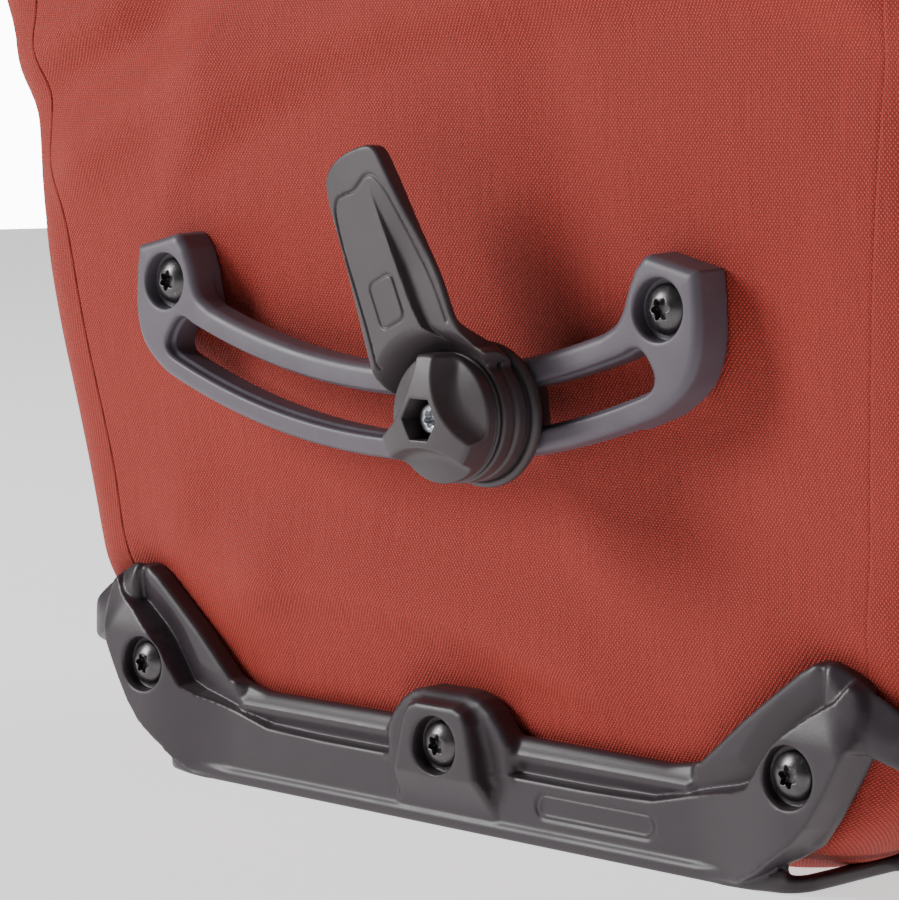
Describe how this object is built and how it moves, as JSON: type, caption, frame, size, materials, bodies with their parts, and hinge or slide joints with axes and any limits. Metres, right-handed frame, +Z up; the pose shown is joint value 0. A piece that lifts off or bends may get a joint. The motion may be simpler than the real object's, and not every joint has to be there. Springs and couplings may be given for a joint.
{
  "type": "pannier bag",
  "caption": "Roll-top bicycle pannier in coated fabric with an adjustable anchor hook on a slotted arc rail, rack hooks, carry handle and a moulded lower edge protector.",
  "frame": {"origin": "centre of the bounding box on the floor the bag stands on", "axes": "+Z up; -Y towards the rack, the side that carries the hooks; +X to the right seen from the rack side"},
  "size_m": [0.3342, 0.2297, 0.4196],
  "materials": {
    "coated_fabric": "coarse plain weave with a waterproof coating, brick red, soft sheen",
    "pocket_fabric": "thin black ripstop",
    "webbing": "black woven polyester webbing",
    "board": "black polyethylene board",
    "rail_plastic": "satin purple-grey moulded nylon",
    "protector_plastic": "satin charcoal moulded nylon, fine grain",
    "anchor_plastic": "matte dark brown-grey moulded nylon, fine texture",
    "insert_plastic": "grey soft nylon",
    "handle_plastic": "soft-touch black elastomer",
    "black_plastic": "black moulded nylon with light grain",
    "black_steel": "black oxide steel, semi-gloss",
    "zinc_steel": "bright zinc-plated steel",
    "reflector": "silver-grey retroreflective film"
  },
  "bodies": {
    "root": {"back_panel": "coated_fabric", "wrap_panel": "coated_fabric", "base_panel": "coated_fabric", "collar": "coated_fabric", "roll_top": "coated_fabric", "closure_batten": "board", "back_board": "board", "inner_pocket": "pocket_fabric", "front_reflector": "reflector", "lower_rail": "rail_plastic", "edge_protector": "protector_plastic", "upper_rail": "black_plastic", "rail_cap_left": "black_plastic", "rail_cap_right": "black_plastic", "lower_rail_screw_left": "black_steel", "lower_rail_nut_left": "zinc_steel", "buckle_female_left": "black_plastic", "closure_tab_left": "webbing", "side_strap_left": "webbing", "lower_rail_screw_right": "black_steel", "lower_rail_nut_right": "zinc_steel", "buckle_female_right": "black_plastic", "closure_tab_right": "webbing", "side_strap_right": "webbing", "protector_screw_left": "black_steel", "protector_nut_left": "zinc_steel", "protector_screw_middle": "black_steel", "protector_nut_middle": "zinc_steel", "protector_screw_right": "black_steel", "protector_nut_right": "zinc_steel", "upper_rail_screw_1": "black_steel", "upper_rail_nut_1": "zinc_steel", "upper_rail_screw_2": "black_steel", "upper_rail_nut_2": "zinc_steel", "upper_rail_screw_3": "black_steel", "upper_rail_nut_3": "zinc_steel", "upper_rail_screw_4": "black_steel", "upper_rail_nut_4": "zinc_steel"},
    "anchor_carriage": {"anchor_carriage": "anchor_plastic", "anchor_bolt": "zinc_steel"},
    "anchor_hook": {"anchor_hook": "anchor_plastic"},
    "anchor_knob": {"anchor_knob": "anchor_plastic"},
    "carry_handle": {"carry_handle": "handle_plastic"},
    "rack_hook_left": {"rack_hook_left": "black_plastic", "hook_insert_left": "insert_plastic", "latch_pin_left": "zinc_steel"},
    "latch_left": {"latch_left": "anchor_plastic"},
    "buckle_male_left": {"buckle_male_left": "black_plastic"},
    "rack_hook_right": {"rack_hook_right": "black_plastic", "hook_insert_right": "insert_plastic", "latch_pin_right": "zinc_steel"},
    "latch_right": {"latch_right": "anchor_plastic"},
    "buckle_male_right": {"buckle_male_right": "black_plastic"}
  },
  "joints": [
    {"name": "anchor_slide", "type": "hinge", "parent": "root", "child": "anchor_carriage", "pos_m": [0, -0.0746, 0.276], "axis": [0, 1, 0], "range_deg": [-7, 25]},
    {"name": "hook_swivel", "type": "hinge", "parent": "anchor_carriage", "child": "anchor_hook", "pos_m": [0.0289, -0.0826, 0.0938], "axis": [0, 1, 0], "continuous": true},
    {"name": "knob_turn", "type": "hinge", "parent": "anchor_carriage", "child": "anchor_knob", "pos_m": [0.0289, -0.0906, 0.0938], "axis": [0, 1, 0], "continuous": true},
    {"name": "handle_lift", "type": "slide", "parent": "root", "child": "carry_handle", "axis": [0, 0, 1], "range_m": [0, 0.01394], "stiffness_N_per_m": 250, "springref_m": -0.004},
    {"name": "hook_slide_left", "type": "slide", "parent": "root", "child": "rack_hook_left", "axis": [1, 0, 0], "range_m": [-0.008, 0.008]},
    {"name": "latch_turn_left", "type": "hinge", "parent": "rack_hook_left", "child": "latch_left", "pos_m": [-0.075, -0.0961, 0.284], "axis": [-1, 0, 0], "range_deg": [0, 60]},
    {"name": "buckle_release_left", "type": "slide", "parent": "root", "child": "buckle_male_left", "axis": [-0.124, 0, 0.9923], "range_m": [0, 0.022], "deforming": ["closure_tab_left"]},
    {"name": "hook_slide_right", "type": "slide", "parent": "root", "child": "rack_hook_right", "axis": [1, 0, 0], "range_m": [-0.008, 0.008]},
    {"name": "latch_turn_right", "type": "hinge", "parent": "rack_hook_right", "child": "latch_right", "pos_m": [0.075, -0.0961, 0.284], "axis": [-1, 0, 0], "range_deg": [0, 60]},
    {"name": "buckle_release_right", "type": "slide", "parent": "root", "child": "buckle_male_right", "axis": [0.124, 0, 0.9923], "range_m": [0, 0.022], "deforming": ["closure_tab_right"]}
  ],
  "couplings": [
    {"joint": "latch_turn_left", "follows": "handle_lift", "rad_per_m": 75.122},
    {"joint": "latch_turn_right", "follows": "handle_lift", "rad_per_m": 75.122}
  ]
}
